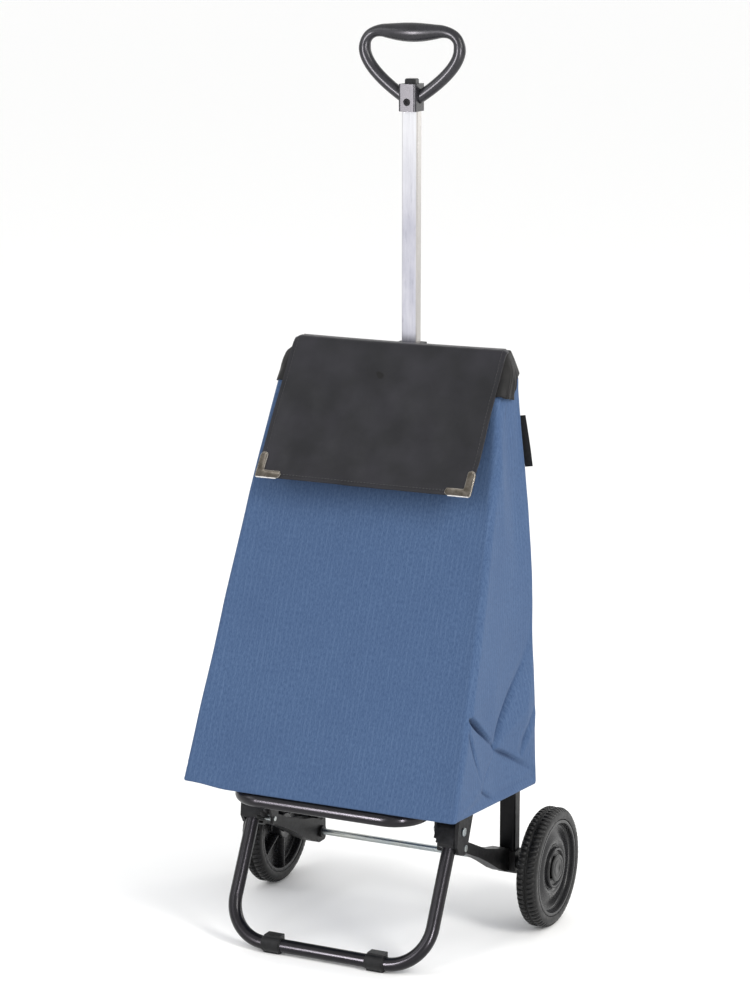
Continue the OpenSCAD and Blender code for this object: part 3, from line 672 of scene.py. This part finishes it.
def crease_depth(y, z):
    """Outward push of the side panel at points (y, z): its facets, two soft ridges and its creases."""
    push = facet_push(y, z)
    push += 2.8 * np.exp(-((y + 82) / 12) ** 2) * ease((z - 470) / 90)
    push -= 2.2 * np.exp(-((y + 50) / 15) ** 2) * ease((z - 430) / 90)
    for (y0, z0), (y1, z1), depth, below, above, lip in CREASES:
        length = math.hypot(y1 - y0, z1 - z0)
        ty, tz = (y1 - y0) / length, (z1 - z0) / length
        t = ((y - y0) * ty + (z - z0) * tz) / length
        side = (-(y - y0) * tz + (z - z0) * ty) * (1 if ty > 0 else -1)
        outside = np.maximum(0, np.maximum(-t, t - 1)) * length
        fade = (0.15 + 0.85 * ease((1 - t) / 0.8)) * (0.5 + 0.5 * ease(t / 0.25))
        fade = fade * np.exp(-(outside / 2.0) ** 2)
        low, high = np.minimum(side, 0), np.maximum(side, 0)
        push -= depth * fade * np.exp(-(low / below) ** 2 - (high / above) ** 2)
        push += lip * fade * ease((side - above) / 2.5) * np.exp(-high / 9)
    return push


def sag(x, y, height):
    """Drop of the bag's bottom: onto the tubes but not the leg brackets, and more at the back corners."""
    wide = np.abs(x)
    on_bracket = ease((wide - 90) / 10) * ease((160 - wide) / 8) * ease((36 - np.abs(y + 146)) / 8)
    settle = 2.2 * (1 - on_bracket) * (1 - ease(height / 40))
    back = np.clip((y + 236) / 226, 0, 1)
    lift = 4.0 * (1 - back) * ease((-118 - x) / 50) * (1 - ease(height / 60))
    return settle - lift + 18 * back * ease((wide - 146) / 24) * (1 - ease(height / 95))


def bag_rings(bottom):
    """Rings of the bag's shell from the middle of its bottom to its mouth, the panel of each column, and how
    many rings are in the bottom."""
    counts = (54, 58, 54, 40)
    heights = [bottom + 5 + k * 3.2 for k in range(43)]
    heights += list(np.linspace(heights[-1], BAG_TOP, 46))[1:]
    rings = []
    for z in heights:
        soft = 4 + 16 * ease((z - bottom) / (BAG_TOP - bottom))
        outline, panels = section(along(BAG_HALF, z), along(BAG_FRONT, z), BAG_BACK, (7, 5, soft, 7), counts)
        rings.append([(p.x, p.y, z) for p in outline])
    outline, _ = section(along(BAG_HALF, bottom), along(BAG_FRONT, bottom), BAG_BACK, (7, 4, 4, 7), counts)
    centre = -128
    under = [[(p.x * s, centre + (p.y - centre) * s, bottom + lift) for p in outline]
        for s, lift in ((0.06, 0), (0.3, 0), (0.55, 0), (0.8, 0), (0.94, 0), (0.985, 0), (0.997, 1.6))]
    return np.array(under + rings), panels, len(under)


def make_bag():
    """Blue body: a lofted shell with a flat bottom, relaxed as cloth and creased low on its sides."""
    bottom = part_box("bag_body")[0].z / MM
    grid, panels, below = bag_rings(bottom)
    origin = np.array(at(0, 0, 0))
    rows, columns = grid.shape[:2]
    flat = refine(grid)
    x, y, z = grid.reshape(-1, 3).T
    half, front = along(BAG_HALF, z), along(BAG_FRONT, z)
    held = np.maximum(ease((bottom + 22 - z) / 20), ease((z - BAG_TOP + 34) / 12))
    held = np.maximum(held, ease((y + 22) / 10))
    at_edge = ease((np.abs(x) - half + 12) / 8) * ease((front + 18 - y) / 8)
    held = np.clip(np.maximum(held, 0.5 * at_edge), 0, 1)
    swell = np.clip(0.3 + 0.7 * ease((np.abs(x) - 120) / 40), 0, 1) * (1 - held)
    settled = relax(grid.reshape(-1, 3) * MM + origin, grid_faces(columns, rows, closed=True), held, swell,
        frames=16, pressure=0.25, limit=6)
    grid = ((settled - origin) / MM).reshape(grid.shape)
    grid = refine(grid)
    rows, columns = grid.shape[:2]
    x, y, z = (grid[:, :, k] for k in range(3))
    half, front = along(BAG_HALF, z), along(BAG_FRONT, z)
    wave = np.array([[noise.noise(Vector(p) * 0.009) for p in row] for row in grid])
    fine = np.array([[noise.noise(Vector(p) * 0.03) for p in row] for row in grid])
    on_side = ease((np.abs(x) - half + 12) / 8) * ease((y - front) / 7 - 0.3) * ease((-14 - y) / 8)
    on_front = ease((front + 12 - y) / 8) * ease((z - bottom - 5) / 40)
    loose = ease((z - bottom - 5) / 40) * ease((BAG_TOP - 6 - z) / 20)
    calm = np.where(x < 0, 0.6 * ease((y - front - 24) / 14), 1)
    push = crease_depth(y, z) * on_side * ease((z - bottom - 1) / 10) * calm
    push += (2.6 * wave + 0.35 * fine) * loose * ease((np.abs(x) - half + 10) / 6) * (1 - on_front)
    grid[:, :, 0] += np.sign(x) * push
    grid[:, :, 1] -= (1.6 * wave + 0.25 * fine) * on_front * loose
    grid[:, :, 2] = np.maximum(grid[:, :, 2], bottom) - sag(x, y, z - bottom)
    grid[:, :, 0] -= 3.0 * ease((-150 - x) / 20) * ease((-160 - y) / 60) * (1 - ease((z - bottom) / 260))
    faces = grid_faces(columns, rows, closed=True)
    faces.append(tuple(reversed(range(columns))))
    points = grid.reshape(-1, 3) * MM + origin
    bag = add_piece("bag_shell", points, faces, "chassis", "bag_fabric", ["bag_body"])
    panels = np.repeat(panels, 2)
    panel_of_face = [BOTTOM if r < 2 * below - 2 else panels[c] for r in range(rows - 1)
        for c in range(columns)]
    paint_uv(bag.data, panel_of_face + [BOTTOM], flat.reshape(-1, 3) * MM)
    thicken(bag, 1.1)
    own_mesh(bag)


def make_cuff():
    """Black band round the bag's mouth, gathered along its lower edge at the sides."""
    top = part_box("bag_cuff")[1].z / MM
    counts = (52, 60, 52, 44)
    sections = 24
    levels = np.linspace(640, top, 40)
    outlines = []
    for z in levels:
        outline, panels = section(along(BAG_HALF, z), along(BAG_FRONT, z), BAG_BACK, (4, 5, 9, 4), counts)
        outlines.append([(p.x, p.y) for p in outline])
    outlines = np.array(outlines)
    columns = outlines.shape[1]
    grid = np.zeros((sections, columns, 3))
    for k in range(columns):
        across, deep = outlines[0, k]
        side = panels[k] in (LEFT, RIGHT)
        low = np.interp(deep, (-69, -37, -29, -9.5), (652, 645.6, 668, 674)) if side else 652
        low = 673 if panels[k] == BACK else low
        low += 1.3 * noise.noise(Vector((across * 0.1, deep * 0.25, 3)))
        for i in range(sections):
            t = i / (sections - 1)
            z = low + t * (top - low)
            x, y = (np.interp(z, levels, outlines[:, k, a]) for a in (0, 1))
            gather = 1.0 * math.sin(deep * 0.7 + 2.2 * math.sin(deep * 0.21)) * (1 - t) ** 0.6 if side else 0
            soft = 1.6 * noise.noise(Vector((x * 0.04, y * 0.06, z * 0.05)))
            out = 1.5 + max(gather + soft, -0.6) * (ease((-16 - y) / 14) if side else 1)
            flare = (4.5 if x < 0 else 1) * math.exp(-((y + 34) / 13) ** 2)
            flare *= ease((z - 650) / 24) * ease((690 - z) / 8)
            x += math.copysign(out + flare, x) if side else 0
            y += -out if panels[k] == FRONT else 0.8 if panels[k] == BACK else 0
            grid[i, k] = x, y, z
    flat = grid.reshape(-1, 3) * MM
    cuff = add_piece("mouth_band", flat + np.array(at(0, 0, 0)), grid_faces(columns, sections, closed=True),
        "chassis", "lining_fabric", ["bag_cuff"])
    paint_uv(cuff.data, [panels[c] for _ in range(sections - 1) for c in range(columns)], flat)
    thicken(cuff, 1.2)
    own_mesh(cuff)


# ---- Flap ----

# The flap runs level from its back edge at the top to its fold, and down in front at a lean; its half width
# and the length of its parts are along the cloth
FLAP_FOLD = -30.8
FLAP_LEAN = math.radians(33.86)
FLAP_DROP = 185.6
FLAP_BACK = -9.8
FLAP_TOP = 702.5
FLAP_HALF = 138
FLAP_BEND = 6.0
HEM = 5.2
TURN = math.pi / 2 - FLAP_LEAN
FLAP_LEVEL = FLAP_BACK - FLAP_FOLD - FLAP_BEND * math.tan(TURN / 2)
FLAP_LENGTH = FLAP_LEVEL + TURN * FLAP_BEND + FLAP_DROP - FLAP_BEND * math.tan(TURN / 2)


def on_flap(x, s, lift=0.0):
    """Point in metres on the flap's outer face, x from its middle and s along it from its back edge, in mm."""
    bent = min(max((s - FLAP_LEVEL) / FLAP_BEND, 0.0), TURN)
    hang = max(0.0, s - FLAP_LEVEL - TURN * FLAP_BEND)
    y = FLAP_BACK - min(s, FLAP_LEVEL) - FLAP_BEND * math.sin(bent) - hang * math.cos(TURN)
    z = FLAP_TOP - FLAP_BEND * (1 - math.cos(bent)) - hang * math.sin(TURN)
    u = abs(x) / FLAP_HALF
    level = 1 - ease((s - FLAP_LEVEL) / 14)
    x *= 1 - 0.03 * (1 - ease(s / FLAP_LEVEL))
    down = hang / (FLAP_LENGTH - FLAP_LEVEL)
    soft = 2.6 * noise.noise(Vector((x * 0.013, s * 0.017, 1.3))) + 1.3 * noise.noise(
        Vector((x * 0.034, s * 0.03, 7.0)))
    calm = 1 - ease((u - 0.7) / 0.12) * ease((down - 0.75) / 0.08)
    belly = -1.8 * math.sin(math.pi * down) * (1 - u * u) * down
    droop = -3.0 * ease((u - 0.94) / 0.06) ** 2 * level - 0.9 * (1 - u * u) * level
    droop -= 2.2 * (1 - ease(s / 9))
    hem = min(FLAP_HALF - abs(x), FLAP_LENGTH - s)
    seam = 0.25 * (1 - ease((hem - HEM) / 1.6)) - 0.35 * math.exp(-((hem - HEM) / 0.9) ** 2)
    out = soft * ease(down * 4) * calm + belly + droop + seam + lift - 0.4
    return at(x, y, z) + Vector((0, -math.sin(bent), math.cos(bent))) * out * MM


def make_flap():
    """Black flap: a sheet from its sewn back edge over a soft fold and down in front, with a turned hem."""
    edge = (0, 1.2, 3, 4.2, 4.8, HEM, 5.6, 6.4, 8)
    across = [-FLAP_HALF + e for e in edge] + list(np.linspace(-FLAP_HALF + 11, FLAP_HALF - 11, 78))
    across += [FLAP_HALF - e for e in reversed(edge)]
    down = list(np.linspace(0, FLAP_LENGTH - 10, 80)) + [FLAP_LENGTH - e for e in reversed(edge)]
    points = [on_flap(x, s) for s in down for x in across]
    faces = [tuple(reversed(q)) for q in grid_faces(len(across), len(down))]
    flap = add_piece("flap_sheet", points, faces, "flap", "flap_fabric", ["flap"])
    paint_points(flap, [(x * MM, s * MM) for s in down for x in across])
    thicken(flap, 1.6)
    return flap


def sew_flap():
    """Hem stitches beside the flap's free edges, each a short raised loop of thread."""
    pitch, length, radius = 4.2, 3.0, 0.38
    lines = [[(side * (FLAP_HALF - HEM), 4 + pitch * i) for i in range(int((FLAP_LENGTH - 9) / pitch))]
        for side in (-1, 1)]
    lines.append([(-FLAP_HALF + HEM + pitch * i, FLAP_LENGTH - HEM) for i in range(int(
        (2 * FLAP_HALF - 2 * HEM) / pitch))])
    points, faces = [], []
    rings = ((0.0, 0.25), (0.2, 0.85), (0.5, 1.0), (0.8, 0.85), (1.0, 0.25))
    for line in lines:
        level = line[0][1] == line[-1][1]
        for x, s in line:
            start = on_flap(x, s)
            end = on_flap(x + (length if level else 0), s + (0 if level else length))
            out = (on_flap(x, s, 1.0) - start).normalized()
            side = (end - start).normalized().cross(out).normalized()
            first = len(points)
            for t, share in rings:
                middle = start.lerp(end, t) + out * MM * (0.25 * share - 0.12)
                for j in range(6):
                    a = math.pi * j / 3
                    points.append(middle + (side * math.cos(a) + out * math.sin(a)) * radius * share * MM)
            faces += grid_faces(6, len(rings), closed=True, first=first)
    add_piece("flap_stitches", points, faces, "flap", "flap_fabric", finish="black_thread")


def corner_outline(arm, width, tip):
    """L outline as (in from the side edge, up from the lower edge), with rounded arm tips."""
    outline = [(0.0, 0.0), (arm - tip, 0.0)]
    turns = [math.pi / 2 * k / 6 for k in range(1, 7)]
    outline += [(arm - tip + tip * math.sin(a), tip - tip * math.cos(a)) for a in turns]
    outline += [(arm - 1.5, width - 0.6), (arm - 3.5, width), (width + 1.5, width), (width + 0.4, width + 0.4),
        (width, width + 1.5), (width, arm - 3.5), (width - 0.6, arm - 1.5)]
    outline += [(tip - tip * math.cos(a), arm - tip + tip * math.sin(a)) for a in reversed(turns)]
    outline += [(0.0, arm - tip)]
    return outline


def make_corner(side):
    """Sheet-metal corner of the flap: a stamped L with a raised rim, rolled round the two edges."""
    name = "right" if side > 0 else "left"
    outline = [Vector(p) for p in corner_outline(arm=32.5, width=9.4, tip=5.0)]
    count = len(outline)
    rings = []
    for inset, lift in ((0.0, -0.4), (0.0, 0.8), (0.3, 1.05), (0.7, 1.05), (1.0, 0.8)):
        ring = []
        for i, p in enumerate(outline):
            run = (outline[(i + 1) % count] - outline[i - 1]).normalized()
            moved = p + Vector((-run.y, run.x)) * inset
            ring.append(on_flap(side * (FLAP_HALF + 0.5 - moved.x), FLAP_LENGTH + 0.5 - moved.y, lift))
        rings.append(ring)
    points = [p for ring in rings for p in ring]
    faces = grid_faces(count, len(rings), closed=True)
    faces.append(tuple(range((len(rings) - 1) * count, len(rings) * count)))
    plate_faces = len(faces)
    steps, sides = 14, 9
    for low in (True, False):
        first = len(points)
        for i in range(steps):
            reach = 1.2 + (27.6 - 1.2) * i / (steps - 1)
            x, s = (reach, 0.0) if low else (0.0, reach)
            spot = side * (FLAP_HALF + 0.5 - x), FLAP_LENGTH + 0.5 - s
            edge = on_flap(*spot)
            out = on_flap(*spot, 1.0) - edge
            away = Vector((0, -math.sin(FLAP_LEAN), -math.cos(FLAP_LEAN))) if low else Vector((side, 0, 0))
            for j in range(sides):
                a = math.pi * (0.5 - j / (sides - 1))
                points.append(edge + (away * MM * (0.9 * math.cos(a)) + out * (1.35 * math.sin(a) - 0.35)))
        faces += grid_faces(sides, steps, first=first)
    if side < 0:
        faces = [tuple(reversed(f)) for f in faces]
    corner = add_piece(f"{name}_corner_plate", points, faces, "flap", "corner_metal", [f"{name}_flap_corner"])
    # The rolled edges get the near-white metal, a painted highlight along them as well as worn shine.
    corner.data.materials.append(FINISH["painted_edge_highlight"])
    for face in corner.data.polygons[plate_faces:plate_faces + (sides - 1) * (steps - 1)]:
        face.material_index = 1
    outward(corner)


# ---- Wheels ----


def on_wheel(centre, r, x, a):
    """Point in metres at radius r and x along the axle in millimetres, turned by a about the axle."""
    return centre + Vector((x * MM, r * math.sin(a) * MM, r * math.cos(a) * MM))


def revolve(profile, centre, steps=144):
    """Ring of (radius, along X) points turned about an X axis through centre, in metres: points and faces."""
    points = [on_wheel(centre, r, x, 2 * math.pi * i / steps) for i in range(steps) for r, x in profile]
    n = len(profile)
    faces = [(i * n + k, i * n + (k + 1) % n, (i + 1) % steps * n + (k + 1) % n, (i + 1) % steps * n + k)
        for i in range(steps) for k in range(n)]
    return points, faces


def rounded(corners, steps=4):
    """Closed outline from (radius, along, rounding) corners, each corner turned into a curve."""
    outline = []
    count = len(corners)
    for i, (r, x, size) in enumerate(corners):
        before, after = Vector(corners[i - 1][:2]), Vector(corners[(i + 1) % count][:2])
        arc = corner_arc(before, Vector((r, x)), after, size, steps) if size else [(r, x)]
        outline += [tuple(p) for p in arc]
    return outline


def make_tyre(side):
    """Solid rubber tyre with a round shoulder and two rows of slanted lugs beside a middle groove."""
    name = "right" if side > 0 else "left"
    low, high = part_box(f"{name}_tyre")
    centre = (low + high) / 2
    outer = (high.z - low.z) / 2 / MM
    half = (high.x - low.x) / 2 / MM
    rim = 59.0
    base = outer - 2.0
    profile = [(rim, -half + 0.6, 0.5), (rim + 4.5, -half, 1.5), (base - 2.0, -half + 0.8, 3.5),
        (base, -half + 5.5, 3.5), (base, -1.6, 0.5), (base - 1.4, -1.0, 0.5)]
    profile += [(r, -x, size) for r, x, size in reversed(profile)]
    points, faces = revolve(rounded(profile), centre)
    lugs = 66
    lug = ((2.2, base - 0.3, 0.0), (2.4, outer - 0.1, 0.0), (6.8, outer, 0.5), (9.8, outer - 1.6, 0.75),
        (12.0, outer - 4.4, 0.95), (11.8, outer - 6.6, 0.95))
    for row in (-1, 1):
        for i in range(lugs):
            first = len(points)
            for across in (-0.33, -0.24, 0.24, 0.33):
                for k, (x, radius, twist) in enumerate(lug):
                    sunk = 1.6 if abs(across) > 0.3 and 0 < k < len(lug) - 1 else 0
                    turn = 2 * math.pi / lugs * (i + 0.25 * row + across + 0.35 * twist)
                    points.append(on_wheel(centre, radius - sunk, row * x, turn))
            quads = grid_faces(len(lug), 4, first=first)
            faces += [q if row > 0 else tuple(reversed(q)) for q in quads]
    add_piece(f"{name}_tread", points, faces, f"{name}_wheel", "tyre_rubber", [f"{name}_tyre"])


def make_hub(side):
    """Moulded hub: a lip round the rim, a dish that rises to a ring round the boss, and six ribs inside."""
    name = "right" if side > 0 else "left"
    low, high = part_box(f"{name}_tyre")
    centre = (low + high) / 2
    face = rounded([(4.2, 8.2, 0), (20.2, 8.2, 0.8), (21.2, 10.8, 0.8), (22.0, 11.8, 0.7), (23.6, 11.8, 0.8),
        (24.6, 10.4, 0.8), (25.2, 5.4, 1.4), (27.6, 6.8, 1.5), (30.5, 8.8, 2), (34.5, 8.8, 2), (40.0, 6.4, 3),
        (46.0, 4.4, 3), (51.0, 4.6, 2), (53.2, 6.2, 1.5), (54.0, 11.6, 1.2), (54.8, 12.5, 0.8),
        (57.8, 12.5, 1.0), (58.7, 11.2, 0.8), (58.9, -11.2, 1.0), (58.0, -12.0, 0.8), (54.6, -12.0, 0.8),
        (54.0, -11.0, 1.0),
        (53.6, -2.0, 2.0), (17.4, -2.0, 2.0), (16.0, -12.6, 1.0), (15.2, -13.5, 0.8), (4.2, -13.5, 0)], 3)
    points, faces = revolve([(r, side * x) for r, x in face], centre)
    rib = [(-2.2, 2.2), (-3.4, 1.7), (-10.0, 1.4), (-10.7, 0.9)]
    rib += [(x, -half) for x, half in reversed(rib)]
    reach = (14.5, 17, 35, 52, 54.5)
    for i in range(6):
        turn = Matrix.Rotation(math.radians(60 * i), 3, "X")
        first = len(points)
        points += [centre + turn @ (Vector((side * x, half, radius)) * MM)
            for radius in reach for x, half in rib]
        faces += grid_faces(len(rib), len(reach), first=first)
    hub = add_piece(f"{name}_hub_moulding", points, faces, f"{name}_wheel", "hub_plastic", [f"{name}_hub"])
    outward(hub)
    cap_face = rounded([(0.01, 6, 0), (12.9, 6, 0.3), (12.9, 11.2, 0.3), (16.6, 11.4, 0.5), (16.6, 12.8, 0.8),
        (15.2, 13.5, 1.0), (12.6, 13.8, 0.6), (11.8, 13.2, 0.5), (10.8, 13.2, 0.5), (9.8, 13.8, 0.6),
        (0.01, 14, 0)])
    points, faces = revolve([(r, side * x) for r, x in cap_face], centre, 72)
    cap = add_piece(f"{name}_cap_moulding", points, faces, f"{name}_wheel", "cap_plastic", [f"{name}_hub_cap"])
    outward(cap)


# ---- Grip ----


def tube(path, radii, sides):
    """Closed round tube along a path in metres, with a radius in mm at each point: points and faces."""
    points = []
    side = Vector((0, 1, 0))
    for i, p in enumerate(path):
        d = (path[min(i + 1, len(path) - 1)] - path[max(i - 1, 0)]).normalized()
        across = d.cross(side).normalized()
        for j in range(sides):
            a = 2 * math.pi * j / sides
            points.append(p + (across * math.cos(a) + side * math.sin(a)) * radii[i] * MM)
    faces = grid_faces(sides, len(path), closed=True)
    faces.append(tuple(reversed(range(sides))))
    faces.append(tuple(range((len(path) - 1) * sides, len(path) * sides)))
    return points, faces


def curve_point(controls, t):
    """Point at t on a cubic curve."""
    a, b, c, d = controls
    return tuple((1 - t) ** 3 * a[k] + 3 * t * (1 - t) ** 2 * b[k] + 3 * t * t * (1 - t) * c[k] + t ** 3 * d[k]
        for k in range(2))


def make_grip():
    """D-shaped grip: slim arms that leave the block, and a bar that swells for the palm."""
    low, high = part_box("grip_ring")
    half = high.x / MM - 7.3
    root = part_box("grip_block")[1].z / MM - 17
    y = ((low + high) / 2 - AXLE).y / MM
    arm = ((8, root), (34, root + 16), (half, root + 38), (half, root + 57))
    shoulder = ((half, root + 57), (half, root + 71), (half - 10, root + 77.5), (36, root + 77.5))
    curves = [curve_point(controls, i / steps) for controls, steps in ((arm, 28), (shoulder, 22))
        for i in range(steps)]
    bar = [(36 - 2 * i, root + 76 + 1.5 * (1 - i / 18) ** 2) for i in range(19)]
    right = curves + bar
    line = right + [(-x, z) for x, z in reversed(right[:-1])]
    radii = []
    for x, z in line:
        palm = 6.3 + 4.9 * max(0.0, math.cos(math.pi / 2 * min(1, abs(x) / 50))) ** 1.4
        radii.append(7.2 + (palm - 7.2) * ease((z - root - 56) / 12))
    points, faces = tube([at(x, y, z) for x, z in line], radii, 36)
    return add_piece("grip_loop", points, faces, "handle", "grip_plastic", ["grip_ring"])


# ---- Webbing ----


def tape(name, path, width, thickness, body, replaces, across=Vector((1, 0, 0))):
    """Flat webbing along a path in metres, with rounded edges."""
    w, t = width / 2, thickness / 2
    outline = [(-w, 0), (-w + 0.35 * t, 0.8 * t), (-w + 1.2 * t, t), (w - 1.2 * t, t), (w - 0.35 * t, 0.8 * t)]
    outline += [(-a, -b) for a, b in outline]
    points = []
    uvs = []
    s = 0.0
    for i, p in enumerate(path):
        d = (path[min(i + 1, len(path) - 1)] - path[max(i - 1, 0)]).normalized()
        up = d.cross(across).normalized()
        s += (p - path[i - 1]).length if i else 0
        for a, b in outline:
            points.append(p + across * a * MM + up * b * MM)
            uvs.append((a * MM, s))
    n = len(outline)
    faces = grid_faces(n, len(path), closed=True) + [tuple(reversed(range(n))),
        tuple(range((len(path) - 1) * n, len(path) * n))]
    paint_points(add_piece(name, points, faces, body, "webbing", replaces), uvs)


def bend(points, radius):
    """Path through points in metres, its corners rounded."""
    path = [points[0]]
    for before, here, after in zip(points, points[1:], points[2:]):
        path += corner_arc(before, here, after, radius * MM, 5)
    return path + [points[-1]]


def make_webbing():
    """Loops that hang on the hooks, and the tab in the right-hand back seam."""
    for side, name in ((-1, "left"), (1, "right")):
        x = side * 70
        path = bend([at(x, y, z) for y, z in ((-8.6, 529), (-8.6, 608.2), (-0.9, 608.2), (-0.9, 598))], 2.2)
        tape(f"{name}_loop", path, 20, 1.3, "chassis", ["bag_straps"])
    slant = Vector((9, 0, -61)).normalized()
    path = [at(148, -8.4, 623), at(151.8, -8.2, 602), at(155.2, -8.1, 582), at(158, -8.4, 563)]
    tape("seam_tab", path, 10, 1.6, "chassis", ["side_tag"], Vector((-slant.z, 0, slant.x)))


FINISH = make_finishes()
make_camera()
make_lights()
make_floor()
finish_cad_nodes()
make_bag()
make_cuff()
flap = make_flap()
sew_flap()
for side in (-1, 1):
    make_tyre(side)
    make_hub(side)
    make_corner(side)
grip = make_grip()
make_webbing()
make_strips([frame["nodes"][node] for node in ("platform_loop", "leg_loop", "grip_block")] + [grip])
